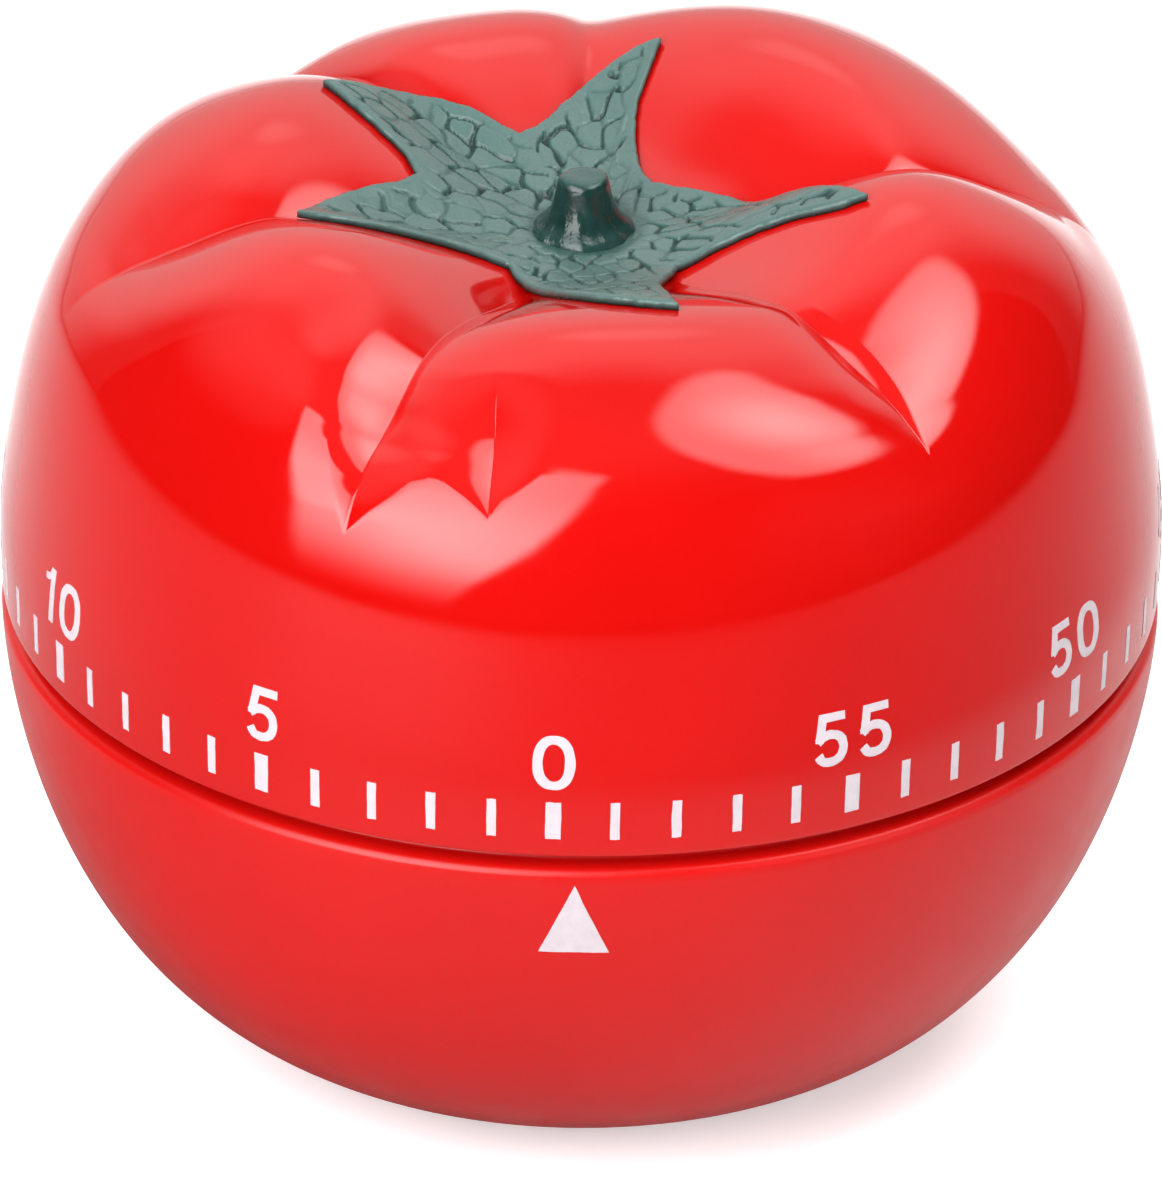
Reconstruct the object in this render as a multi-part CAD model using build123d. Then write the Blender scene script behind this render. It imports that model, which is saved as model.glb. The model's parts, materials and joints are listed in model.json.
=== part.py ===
from build123d import *
import math
import os
import numpy as np

os.makedirs("parts", exist_ok=True)

# ---------------------------------------------------------------- driving dimensions (mm, degrees)
R = 35.0                 # equator radius of the case
Z_TICK = 29.65           # height of the tick mark circle, the zero of the case profile
WALL = 2.0               # case wall
Z_LOWER_TOP = 27.5       # rim of the lower shell
Z_UPPER_EDGE = 28.4      # edge of the upper shell
LIP_OUT, LIP_IN, LIP_TOP = 32.6, 31.4, 30.0
UPPER_IN = 33.0          # inner radius at the upper shell's edge
BASE_FLAT = 14.7         # radius of the flat the timer rests on
Z_REAR, Z_FRONT, PLATE_T, PLATE_R = 13.0, 30.0, 1.0, 27.0
CLEAR = 0.05             # radial running clearance of a pivot
PILLARS = [(23.5, 128.0), (23.5, 240.0), (23.5, 340.0)]
SCREWS = [(24.0, 40.0), (24.0, 160.0), (24.0, 275.0)]
BELL_R, BELL_T, BELL_Z0, BELL_Z1 = 17.5, 0.8, 4.0, 12.0
ARBOR_R, ARBOR_D = 3.0, 2.5
M_MAIN, M_SECOND, M_THIRD = 0.40, 0.30, 0.28     # gear modules
N_MAIN, N_WHEEL, N_PINION = 80, 60, 10           # tooth counts
A2 = (18.0, 90.0)        # second arbor, radius and angle
A3 = (18.5, 56.6)        # third arbor
A4 = (19.5, 26.9)        # escape arbor
A5 = (19.5, 4.4)         # pallet staff
A7 = (18.0, 200.0)       # star arbor
A8 = (21.5, 222.0)       # hammer staff
HAMMER_AT = (20.0, 240.0)
RELEASE_AT = (12.0, 290.0)
STOP_RADIUS, STOP_PIN_R, STOP_ANGLE = 10.0, 0.6, 300.0
STOP_REST = 7.8          # rest angle of the stop arm past the stop pin

# case profile in radii of the equator, zero at the tick circle
LOW_Z, LOW_R, LOW_A, LOW_B = -0.847, 0.1837, 1.6366, 3.1605
CREASE = [(-138.0, 1.0), (-80.0, 1.0), (-26.0, 1.2), (40.0, 0.85), (104.0, 1.0), (180.0, 0.8)]
BULGE = [0.0, 0.0, -0.028, 0.006, 0.020, -0.022]
CREST = [(1.000, -0.035), (1.003, 0.10), (0.988, 0.25), (0.9585, 0.402), (0.903, 0.5476), (0.811, 0.671), (0.691, 0.747),
         (0.568, 0.781), (0.4526, 0.760), (0.33, 0.707), (0.22, 0.658), (0.11, 0.630), (0.0, 0.622)]
DEPTH_AT = [(0.0, 0.0), (0.08, 0.0), (0.20, 0.25), (0.30, 0.55), (0.40, 0.75), (0.50, 0.92), (0.62, 1.0), (0.72, 0.95),
            (0.80, 0.80), (0.87, 0.50), (0.92, 0.12), (0.95, 0.0), (1.2, 0.0)]
DMAX = 0.085
SHARP = 1.25             # roundness of the creases
LEAF_T = 0.9             # thickness of the calyx leaves
CALYX = [(-17.2, -4.7), (-15.8, -2.3), (-13.6, -0.1), (-11.2, 1.6), (-10.1, 2.8), (-11.1, 4.6), (-12.4, 5.9), (-14.0, 7.5),
         (-15.9, 10.0), (-13.8, 11.5), (-11.4, 12.1), (-9.0, 11.7), (-6.6, 10.7), (-5.1, 9.8), (-4.1, 9.4), (-2.8, 10.3), (-1.4, 12.2),
         (0.1, 14.3), (1.6, 15.6), (3.2, 16.4), (4.4, 16.5), (3.8, 14.3), (3.2, 12.2), (2.9, 10.2), (3.0, 8.0), (3.3, 6.2),
         (4.0, 4.9), (5.4, 4.4), (7.7, 3.6), (10.1, 2.1), (12.6, -0.7), (14.9, -3.3), (16.8, -5.7), (14.9, -5.9), (12.5, -5.1),
         (10.1, -4.5), (7.8, -4.6), (5.5, -5.6), (4.6, -8.6), (4.6, -11.6), (4.95, -14.6), (5.6, -17.5), (3.2, -16.9), (0.6, -15.5),
         (-1.3, -13.0), (-2.9, -9.2), (-4.6, -5.7), (-7.0, -5.6), (-9.2, -5.9), (-11.6, -6.6), (-14.0, -6.8), (-16.0, -6.0)]


# ---------------------------------------------------------------- helpers
def polar(p):
    return p[0] * math.cos(math.radians(p[1])), p[0] * math.sin(math.radians(p[1]))


def cyl(r, z0, z1, at=(0.0, 0.0)):
    return Pos(at[0], at[1], z0) * Cylinder(r, z1 - z0, align=(Align.CENTER, Align.CENTER, Align.MIN))


def ring(ro, ri, z0, z1, at=(0.0, 0.0)):
    return cyl(ro, z0, z1, at) - cyl(ri, z0 - 1, z1 + 1, at)


def block(x0, x1, y0, y1, z0, z1, turn=0.0, at=(0.0, 0.0)):
    b = Pos((x0 + x1) / 2, (y0 + y1) / 2, (z0 + z1) / 2) * Box(x1 - x0, y1 - y0, z1 - z0)
    return Pos(at[0], at[1], 0) * Rot(0, 0, turn) * b


def prism(points, z0, z1, holes=()):
    outer = Wire.make_polygon([Vector(x, y, z0) for x, y in points], close=True)
    face = Face(outer, [Wire.make_circle(r, Plane((x, y, z0))) for x, y, r in holes])
    return Solid.extrude(face, Vector(0, 0, z1 - z0))


def bar(p, q, half_p, half_q, z0, z1):
    """Flat tapered link between two plan points with round ends."""
    dx, dy = q[0] - p[0], q[1] - p[1]
    n = math.hypot(dx, dy)
    ux, uy = -dy / n, dx / n
    pts = [(p[0] + ux * half_p, p[1] + uy * half_p), (p[0] - ux * half_p, p[1] - uy * half_p),
           (q[0] - ux * half_q, q[1] - uy * half_q), (q[0] + ux * half_q, q[1] + uy * half_q)]
    return prism(pts, z0, z1) + cyl(half_p, z0, z1, p) + cyl(half_q, z0, z1, q)


def revolved(points, smooth=None):
    """Solid of revolution of a closed (r, z) outline; smooth is a list of leading points joined by a spline."""
    if smooth is None:
        wire = Wire.make_polygon([Vector(r, 0, z) for r, z in points], close=True)
    else:
        first = Edge.make_spline([Vector(r, 0, z) for r, z in smooth])
        rest = [smooth[-1]] + list(points) + [smooth[0]]
        edges = [first] + [Edge.make_line(Vector(a[0], 0, a[1]), Vector(b[0], 0, b[1])) for a, b in zip(rest, rest[1:])]
        wire = Wire(edges)
    return Solid.revolve(Face(wire), 360, Axis.Z)


def tooth_outline(n, m, add, ded, phase, backlash=0.03):
    """Involute tooth polygon, 20 degree pressure angle, tooth 0 centred on phase (degrees)."""
    pa = math.radians(20)
    rp = n * m / 2
    rb, ra, rr = rp * math.cos(pa), rp + add * m, rp - ded * m
    inv = lambda a: math.tan(a) - a
    half = math.pi / (2 * n) - backlash / (2 * rp) + inv(pa)
    low = max(rb, rr)
    radii = [low + (ra - low) * k / 2 for k in range(3)]
    flank = [(r, half - inv(math.acos(min(1.0, rb / r)))) for r in radii]
    if rr < rb:
        flank.insert(0, (rr, half * 0.86))
    pts = []
    for k in range(n):
        c = math.radians(phase) + 2 * math.pi * k / n
        for r, a in flank:
            pts.append((r * math.cos(c - a), r * math.sin(c - a)))
        for r, a in reversed(flank):
            pts.append((r * math.cos(c + a), r * math.sin(c + a)))
    return pts


def toothed(n, m, add, ded, phase, z0, z1, at, bore):
    pts = [(x + at[0], y + at[1]) for x, y in tooth_outline(n, m, add, ded, phase)]
    return prism(pts, z0, z1, [(at[0], at[1], bore)] if bore else [])


def mate_phase(p1, n1, phase1, p2, n2):
    """Phase that puts a gap of gear 2 opposite a tooth of gear 1."""
    phi = math.degrees(math.atan2(p2[1] - p1[1], p2[0] - p1[0]))
    f1 = ((phi - phase1) * n1 / 360.0) % 1.0
    return phi + 180.0 - (0.5 - f1) * 360.0 / n2


def clamped_spline(xs, ys, x, s0, s1):
    xs, ys, x = np.asarray(xs, float), np.asarray(ys, float), np.asarray(x, float)
    n, h = len(xs), np.diff(xs)
    a, b = np.zeros((n, n)), np.zeros(n)
    a[0, 0], a[-1, -1], b[0], b[-1] = 1, 1, s0, s1
    for i in range(1, n - 1):
        a[i, i - 1], a[i, i], a[i, i + 1] = 1 / h[i - 1], 2 * (1 / h[i - 1] + 1 / h[i]), 1 / h[i]
        b[i] = 3 * ((ys[i] - ys[i - 1]) / h[i - 1] ** 2 + (ys[i + 1] - ys[i]) / h[i] ** 2)
    k = np.linalg.solve(a, b)
    i = np.clip(np.searchsorted(xs, x, side="right") - 1, 0, n - 2)
    t = (x - xs[i]) / h[i]
    u, v = k[i] * h[i] - (ys[i + 1] - ys[i]), -k[i + 1] * h[i] + (ys[i + 1] - ys[i])
    return (1 - t) * ys[i] + t * ys[i + 1] + t * (1 - t) * (u * (1 - t) + v * t)


def smooth_table(table, x):
    xs, ys = np.array([p[0] for p in table]), np.array([p[1] for p in table])
    h = np.diff(xs)
    d, m = np.diff(ys) / h, np.zeros(len(xs))
    for i in range(1, len(xs) - 1):
        if d[i - 1] * d[i] > 0:
            w1, w2 = 2 * h[i] + h[i - 1], h[i] + 2 * h[i - 1]
            m[i] = (w1 + w2) / (w1 / d[i - 1] + w2 / d[i])
    x = np.clip(x, xs[0], xs[-1])
    i = np.clip(np.searchsorted(xs, x, side="right") - 1, 0, len(xs) - 2)
    t = (x - xs[i]) / h[i]
    return ((2 * t**3 - 3 * t**2 + 1) * ys[i] + (t**3 - 2 * t**2 + t) * h[i] * m[i]
            + (-2 * t**3 + 3 * t**2) * ys[i + 1] + (t**3 - t**2) * h[i] * m[i + 1])


def crest(t):
    p = np.array(CREST)
    d = np.r_[0, np.cumsum(np.hypot(*np.diff(p, axis=0).T))]
    length = d[-1]
    d = d / length
    f = lambda s: np.stack([clamped_spline(d, p[:, 0], s, 0.0, -length), clamped_spline(d, p[:, 1], s, length, 0.0)], -1)
    t = np.asarray(t, float)
    g = f(np.clip(t + 1e-4, 0, 1)) - f(np.clip(t - 1e-4, 0, 1))
    g = g / np.linalg.norm(g, axis=-1, keepdims=True)
    return f(t), np.stack([g[..., 1], -g[..., 0]], -1)


def lobes(az):
    c = sorted(CREASE)
    edge = np.array([p[0] for p in c] + [c[0][0] + 360])
    dep = np.array([p[1] for p in c] + [c[0][1]])
    a = (np.asarray(az, float) - edge[0]) % 360 + edge[0]
    i = np.clip(np.searchsorted(edge, a, side="right") - 1, 0, len(c) - 1)
    s = (a - edge[i]) / (edge[i + 1] - edge[i])
    k = np.sin(np.pi * s)
    return (dep[i] * (1 - s) + dep[i + 1] * s) * (1 - k ** SHARP), np.array(BULGE)[i] * k ** 2


def top_point(az, t, out=0.0):
    """Outer surface of the upper shell; az from the front, t from 0 at the seam to 1 at the centre."""
    az, t = np.broadcast_arrays(np.asarray(az, float), np.asarray(t, float))
    q, n = crest(t)
    w, b = lobes(az)
    d = smooth_table(DEPTH_AT, q[..., 0]) * np.where(q[..., 1] > 0.2, 1.0, 0.0)
    off = -DMAX * d * w + b * d + out / R
    rho, z = q[..., 0] + n[..., 0] * off, q[..., 1] + n[..., 1] * off
    a = np.radians(az)
    return np.stack([R * rho * np.sin(a), -R * rho * np.cos(a), R * z + Z_TICK], -1)


def lobed_solid(out, t0):
    """Closed solid under the lobed dome, offset outward by out, from profile station t0 up."""
    n = 60
    az = -138.0 + np.arange(n) * 360.0 / n
    par = [k / n for k in range(n + 1)]
    rows = []
    for t in [t0, 0.05, 0.11, 0.18, 0.25, 0.31, 0.37, 0.43, 0.48, 0.53, 0.58, 0.64, 0.70, 0.76, 0.82, 0.88, 0.93, 0.965]:
        p = top_point(az, t, out)
        rows.append(Wire([Edge.make_spline([Vector(*map(float, q)) for q in p], periodic=True, parameters=par)]))
    cap = top_point(np.array([0.0]), np.array([1.0]), out)[0]
    return rows, Vector(0, 0, float(cap[2]))


parts = {}

# ---------------------------------------------------------------- case
def low_profile(s):
    r = LOW_R + (1 - LOW_R) * max(0.0, 1 - s ** LOW_A) ** (1 / LOW_B)
    z = -0.060 + s * (LOW_Z + 0.060)
    return R * r, R * z + Z_TICK


side = [low_profile(s) for s in (0.0, 0.08, 0.18, 0.30, 0.42, 0.54, 0.65, 0.75, 0.83, 0.89, 0.935, 0.965)]
side = [(side[0][0], Z_LOWER_TOP - 0.35)] + side[1:] + [(16.4, 0.28), (BASE_FLAT, 0.0)]
lower_out = revolved([(0, 0), (0, Z_LOWER_TOP), (side[0][0] - 0.35, Z_LOWER_TOP)], smooth=side) & cyl(60, 0, 60)
inner = []
for i in range(1, len(side) - 3):
    (r0, z0), (r1, z1) = side[i - 1], side[i + 1]
    n = math.hypot(r1 - r0, z1 - z0)
    inner.append((side[i][0] - WALL * (z0 - z1) / n, side[i][1] + WALL * (r0 - r1) / n))
inner = [p for p in inner if 3.2 < p[1] < 24.5]
cavity = revolved([(12.0, WALL), (0, WALL), (0, LIP_TOP + 1), (LIP_IN, LIP_TOP + 1), (LIP_IN, 26.0)], smooth=inner)
lower = lower_out + ring(LIP_OUT, LIP_IN, Z_LOWER_TOP - 1.0, LIP_TOP) - cavity
for p in SCREWS:
    lower += (cyl(2.7, 0, Z_REAR, polar(p)) & lower_out)
for p in SCREWS:
    lower -= cyl(1.1, 8.0, Z_REAR + 1, polar(p))
for k in range(8):
    lower -= block(6.0, 12.0, -0.8, 0.8, -1, WALL + 1, 22.5 + 45 * k)
parts["lower_shell"] = lower

rows, apex = lobed_solid(0.0, 0.0)
dome = Solid.make_loft(rows + [Vertex(apex)])
hollow = revolved([(0, 49.2), (0, Z_UPPER_EDGE - 1), (UPPER_IN, Z_UPPER_EDGE - 1)],
                  smooth=[(UPPER_IN, 37.0), (32.2, 42.0), (30.3, 45.5), (27.0, 48.0), (22.0, 49.2)])
d_bore = cyl(ARBOR_D, 33.0, 46.6) & block(-3, 3, -2.0, 2.0, 33.0, 46.6)
upper = dome - hollow
upper += cyl(5.0, 34.0, 49.8)
for k in range(3):                                     # ribs from the hub to the roof
    upper += block(4.5, 16.0, -0.7, 0.7, 44.0, 49.6, 30 + 120 * k)
upper -= d_bore
upper -= cyl(1.5, 48.4, 53.0)
parts["upper_shell"] = upper

leaf_rows, leaf_apex = lobed_solid(LEAF_T, 0.0)
star = prism(CALYX, 45.0, 62.0)
leaves = (star & Solid.make_loft(leaf_rows + [Vertex(leaf_apex)])) - dome
stem = revolved([(0, 52.0), (3.4, 52.0), (3.0, 52.55), (2.55, 53.1), (2.2, 53.9), (1.95, 54.9), (1.8, 55.8), (1.45, 56.2), (0, 56.3)])
calyx = leaves + stem + cyl(1.48, 48.6, 52.2)
parts["calyx"] = calyx

# ---------------------------------------------------------------- movement frame
arbors = {"second": polar(A2), "third": polar(A3), "escape": polar(A4), "pallet": polar(A5), "star": polar(A7)}
hammer_at = polar(A8)
PIVOT_R, SHAFT_R = 0.45, 0.8

rear = cyl(PLATE_R, Z_REAR, Z_REAR + PLATE_T) - cyl(3.0, Z_REAR - 1, Z_REAR + 2)
front = cyl(PLATE_R, Z_FRONT, Z_FRONT + PLATE_T) - cyl(4.5, Z_FRONT - 1, Z_FRONT + 2)
for p in PILLARS:
    rear -= cyl(1.2, Z_REAR - 1, Z_REAR + 2, polar(p))
    front -= cyl(1.2, Z_FRONT - 1, Z_FRONT + 2, polar(p))
for p in SCREWS:
    rear -= cyl(1.2, Z_REAR - 1, Z_REAR + 2, polar(p))
for at in arbors.values():
    rear -= cyl(PIVOT_R + CLEAR, Z_REAR - 1, Z_REAR + 2, at)
    front -= cyl(PIVOT_R + CLEAR, Z_FRONT - 1, Z_FRONT + 2, at)
rear -= cyl(SHAFT_R + CLEAR, Z_REAR - 1, Z_REAR + 2, hammer_at)
front -= cyl(PIVOT_R + CLEAR, Z_FRONT - 1, Z_FRONT + 2, hammer_at)
stop_at = polar((STOP_RADIUS, STOP_ANGLE))
release_at = polar(RELEASE_AT)
front -= cyl(STOP_PIN_R, Z_FRONT - 1, Z_FRONT + 2, stop_at)
front -= cyl(0.7, Z_FRONT - 1, Z_FRONT + 2, release_at)
for p in [(14.0, 150.0), (14.0, 225.0), (14.0, 340.0)]:
    front -= cyl(3.6, Z_FRONT - 1, Z_FRONT + 2, polar(p))
    rear -= cyl(3.6, Z_REAR - 1, Z_REAR + 2, polar(p))
parts["rear_plate"] = rear
parts["front_plate"] = front
parts["front_bush"] = ring(4.5, ARBOR_R + CLEAR, Z_FRONT - 0.8, Z_FRONT + 1.2)
parts["stop_pin"] = cyl(STOP_PIN_R, Z_FRONT, Z_FRONT + 2.6, stop_at)
parts["release_pivot"] = cyl(0.7, 25.6, Z_FRONT + PLATE_T, release_at) + cyl(1.3, 25.2, 25.6, release_at)
parts["pillars"] = [cyl(2.0, Z_REAR + PLATE_T, Z_FRONT, polar(p)) + cyl(1.2, Z_REAR, Z_FRONT + PLATE_T + 1.8, polar(p)) for p in PILLARS]


def hexagon(r, at, turn):
    return [(at[0] + r * math.cos(math.radians(turn + 60 * k)), at[1] + r * math.sin(math.radians(turn + 60 * k))) for k in range(6)]


parts["plate_nuts"] = [prism(hexagon(2.5, polar(p), p[1]), Z_FRONT + PLATE_T, Z_FRONT + PLATE_T + 1.4, [(*polar(p), 1.2)]) for p in PILLARS]
z_head = Z_REAR + PLATE_T
parts["case_screws"] = [cyl(1.1, 8.2, z_head, polar(p)) + cyl(2.1, z_head, z_head + 1.3, polar(p))
                        - block(-3, 3, -0.25, 0.25, z_head + 0.8, z_head + 2, p[1], polar(p)) for p in SCREWS]

# ---------------------------------------------------------------- bell and centre post
bell = revolved([(1.3, BELL_Z0), (BELL_R - 2.5, BELL_Z0), (BELL_R - 0.7, BELL_Z0 + 0.8), (BELL_R, BELL_Z0 + 2.5), (BELL_R, BELL_Z1),
                 (BELL_R - BELL_T, BELL_Z1), (BELL_R - BELL_T, BELL_Z0 + 2.8), (BELL_R - 1.4, BELL_Z0 + 1.4), (BELL_R - 2.8, BELL_Z0 + BELL_T),
                 (1.3, BELL_Z0 + BELL_T)])
parts["bell"] = bell
parts["centre_post"] = (cyl(3.6, BELL_Z0 + BELL_T, Z_REAR) + cyl(3.0, Z_REAR, 15.0)
                        - cyl(1.5 + 0.03, 10.5, 16.0) - cyl(1.25, 4.0, 9.5))
parts["bell_screw"] = (cyl(2.6, 2.6, BELL_Z0) + cyl(1.25, BELL_Z0, 9.3) - block(-3, 3, -0.3, 0.3, 2.0, 3.2))

# ---------------------------------------------------------------- main arbor group, turns with the upper shell
arbor = cyl(1.5, 10.6, 15.1) + cyl(ARBOR_R, 15.05, 32.2)
arbor += cyl(ARBOR_D, 32.2, 46.5) & block(-3, 3, -2.0, 2.0, 32.0, 46.5)
parts["main_arbor"] = arbor
stop_turn = STOP_ANGLE + STOP_REST
parts["stop_arm"] = (cyl(4.6, 31.4, 32.2) + block(0, STOP_RADIUS + 0.6, -0.7, 0.7, 31.4, 32.2, stop_turn)) - cyl(ARBOR_R, 31, 33)
parts["arbor_clip"] = (ring(4.0, ARBOR_D, 32.2, 32.7) - block(2.0, 5, -1.2, 1.2, 32, 33, 90))

strip = []
TURNS, SPRING_IN, SPRING_OUT, STRIP = 8.0, 3.25, 12.9, 0.36
for k in range(int(TURNS * 20) + 1):
    a = 2 * math.pi * k / 20
    r = SPRING_IN + (SPRING_OUT - SPRING_IN) * k / (TURNS * 20)
    strip.append((r, a))
outline = [((r + STRIP / 2) * math.cos(a), (r + STRIP / 2) * math.sin(a)) for r, a in strip]
outline += [((r - STRIP / 2) * math.cos(a), (r - STRIP / 2) * math.sin(a)) for r, a in reversed(strip)]
parts["mainspring"] = prism(outline, 16.9, 21.7)

click_angle = 0.0
stud_at = (6.505, 6.505)
main_wheel = toothed(N_MAIN, M_MAIN, 0.6, 1.25, 0.0, 23.0, 24.0, (0, 0), ARBOR_R)
main_wheel -= cyl(0.8, 22, 25, stud_at)
for k in range(4):
    main_wheel -= cyl(2.2, 22, 25, polar((12.2, 80 + 90 * k)))
parts["main_wheel"] = main_wheel
saw = []
for k in range(12):
    a = 30.0 * k + click_angle
    saw += [polar((6.0, a)), polar((5.0, a + 0.01))]
    saw += [polar((5.0 + s / 30.0, a + s)) for s in (10.0, 20.0)]
parts["ratchet_wheel"] = prism(saw, 24.3, 25.1, [(0, 0, ARBOR_R)])
tip = polar((5.65, 5.5))
parts["click_pawl"] = bar(stud_at, tip, 1.3, 0.22, 24.3, 25.1) - cyl(0.85, 24, 26, stud_at)
parts["click_stud"] = cyl(0.8, 23.0, 25.15, stud_at) + cyl(1.4, 25.15, 25.5, stud_at)
foot = polar((11.0, 10.0))
parts["click_spring"] = bar(foot, (7.0, 3.32), 0.15, 0.12, 24.3, 24.9) + cyl(0.55, 24.0, 24.9, foot)
notch = prism([(7.0, -2.4), (4.8, 0.0), (7.0, 2.4)], 25.0, 27.5)
parts["release_cam"] = ring(6.0, ARBOR_R, 25.7, 26.7) - Rot(0, 0, 250) * notch

# ---------------------------------------------------------------- going train
def staff(at, r, z0=None, z1=None):
    lo, hi = Z_REAR + PLATE_T + 0.1, Z_FRONT - 0.1
    return cyl(r, lo, hi, at) + cyl(PIVOT_R, Z_REAR, lo, at) + cyl(PIVOT_R, hi, Z_FRONT + PLATE_T, at)


p2 = mate_phase((0, 0), N_MAIN, 0.0, arbors["second"], N_PINION)
parts["second_arbor"] = staff(arbors["second"], SHAFT_R) + toothed(N_PINION, M_MAIN, 1.0, 0.85, p2, 22.4, 24.6, arbors["second"], 0)
second = toothed(N_WHEEL, M_SECOND, 0.6, 1.25, 0.0, 25.8, 26.6, arbors["second"], SHAFT_R)
for k in range(5):
    second -= cyl(1.9, 25, 27, (arbors["second"][0] + 5.0 * math.cos(math.radians(72 * k)), arbors["second"][1] + 5.0 * math.sin(math.radians(72 * k))))
parts["second_wheel"] = second
p3 = mate_phase(arbors["second"], N_WHEEL, 0.0, arbors["third"], N_PINION)
parts["third_arbor"] = staff(arbors["third"], SHAFT_R) + toothed(N_PINION, M_SECOND, 1.0, 0.85, p3, 25.5, 26.9, arbors["third"], 0)
third = toothed(N_WHEEL, M_THIRD, 0.6, 1.25, 0.0, 27.6, 28.4, arbors["third"], SHAFT_R)
for k in range(5):
    third -= cyl(1.7, 27, 29, (arbors["third"][0] + 4.7 * math.cos(math.radians(72 * k)), arbors["third"][1] + 4.7 * math.sin(math.radians(72 * k))))
parts["third_wheel"] = third
p4 = mate_phase(arbors["third"], N_WHEEL, 0.0, arbors["escape"], N_PINION)
parts["escape_arbor"] = staff(arbors["escape"], SHAFT_R) + toothed(N_PINION, M_THIRD, 1.0, 0.85, p4, 27.3, 28.7, arbors["escape"], 0)
e_at = arbors["escape"]
ESC_R, ESC_N = 4.2, 18
teeth = []
for k in range(ESC_N):
    a = 360.0 / ESC_N * k
    for r, da in ((3.1, 0.0), (ESC_R, 5.0), (ESC_R, 7.0), (3.1, 11.0)):
        x, y = polar((r, a + da))
        teeth.append((x + e_at[0], y + e_at[1]))
parts["escape_wheel"] = prism(teeth, 18.0, 18.8, [(*e_at, SHAFT_R)])

# pallets ride just outside the escape wheel's tip circle
s_at = arbors["pallet"]
span = math.hypot(s_at[0] - e_at[0], s_at[1] - e_at[1])
u = ((s_at[0] - e_at[0]) / span, (s_at[1] - e_at[1]) / span)
v = (-u[1], u[0])
PALLET_AT, PALLET_R = 5.05, 0.3
pins = []
for sign in (1, -1):
    c, s = PALLET_AT * math.cos(math.radians(50)), sign * PALLET_AT * math.sin(math.radians(50))
    pins.append((e_at[0] + c * u[0] + s * v[0], e_at[1] + c * u[1] + s * v[1]))
lever = cyl(1.5, 19.2, 20.0, s_at)
for p in pins:
    lever += bar(s_at, p, 0.7, 0.45, 19.2, 20.0)
lever -= cyl(0.7, 19, 21, s_at)
for p in pins:
    lever -= cyl(PALLET_R, 19, 21, p)
parts["pallet_lever"] = lever
parts["pallet_pins"] = [cyl(PALLET_R, 17.7, 20.0, p) for p in pins]
parts["pallet_staff"] = staff(s_at, 0.7)
w0, w1 = (s_at[0] - v[0] * 0 - 4.2 * math.sin(math.radians(-4.4)), s_at[1] - 4.2), (s_at[0], s_at[1] + 4.2)
parts["balance_bar"] = bar(w0, w1, 1.1, 1.1, 20.8, 21.8) - cyl(0.7, 20, 23, s_at)

# ---------------------------------------------------------------- strike train
parts["strike_wheel"] = toothed(N_MAIN, M_MAIN, 0.6, 1.25, 0.0, 15.3, 16.3, (0, 0), ARBOR_R + CLEAR) - cyl(0.45, 15, 17, polar((14.0, 20.0)))
parts["spring_hook_pin"] = cyl(0.45, 15.3, 21.7, polar((14.0, 20.0)))
p7 = mate_phase((0, 0), N_MAIN, 0.0, arbors["star"], N_PINION)
parts["star_arbor"] = staff(arbors["star"], SHAFT_R) + toothed(N_PINION, M_MAIN, 1.0, 0.85, p7, 14.9, 16.7, arbors["star"], 0)
t_at = arbors["star"]
points = []
for k in range(8):
    for r, da in ((4.9, 0.0), (4.9, 3.0), (3.2, 20.0)):
        x, y = polar((r, 45.0 * k + da))
        points.append((x + t_at[0], y + t_at[1]))
parts["star_wheel"] = prism(points, 26.0, 27.0, [(*t_at, SHAFT_R)])

hx, hy = hammer_at
head_at = polar(HAMMER_AT)
parts["hammer_staff"] = cyl(SHAFT_R, 8.6, Z_FRONT - 0.1, hammer_at) + cyl(PIVOT_R, Z_FRONT - 0.1, Z_FRONT + PLATE_T, hammer_at)
parts["hammer_arm"] = bar(hammer_at, head_at, 1.6, 1.0, 8.6, 9.6) - cyl(SHAFT_R, 8, 10, hammer_at) - cyl(0.5, 8, 10, head_at)
parts["hammer_head"] = cyl(1.6, 6.2, 8.6, head_at) + cyl(0.5, 8.6, 9.6, head_at)
reach = 2.6 / math.hypot(t_at[0] - hx, t_at[1] - hy)
tail_at = (hx + (t_at[0] - hx) * reach, hy + (t_at[1] - hy) * reach)
parts["hammer_tail"] = bar(hammer_at, tail_at, 1.5, 0.5, 26.0, 27.0) - cyl(SHAFT_R, 25, 28, hammer_at)

nose_at, link_at = polar((7.0, 268.0)), polar((17.0, 266.0))
release = bar(release_at, nose_at, 1.6, 0.5, 25.8, 26.6) + bar(release_at, link_at, 1.6, 0.8, 25.8, 26.6)
parts["release_lever"] = release - cyl(0.7 + CLEAR, 25, 28, release_at)

# ---------------------------------------------------------------- write one file per node
for name, shape in parts.items():
    if isinstance(shape, list):
        shape = Compound(children=[s if isinstance(s, Solid) else s.solid() for s in shape])
    export_step(shape, os.path.join("parts", name + ".step"))
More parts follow.
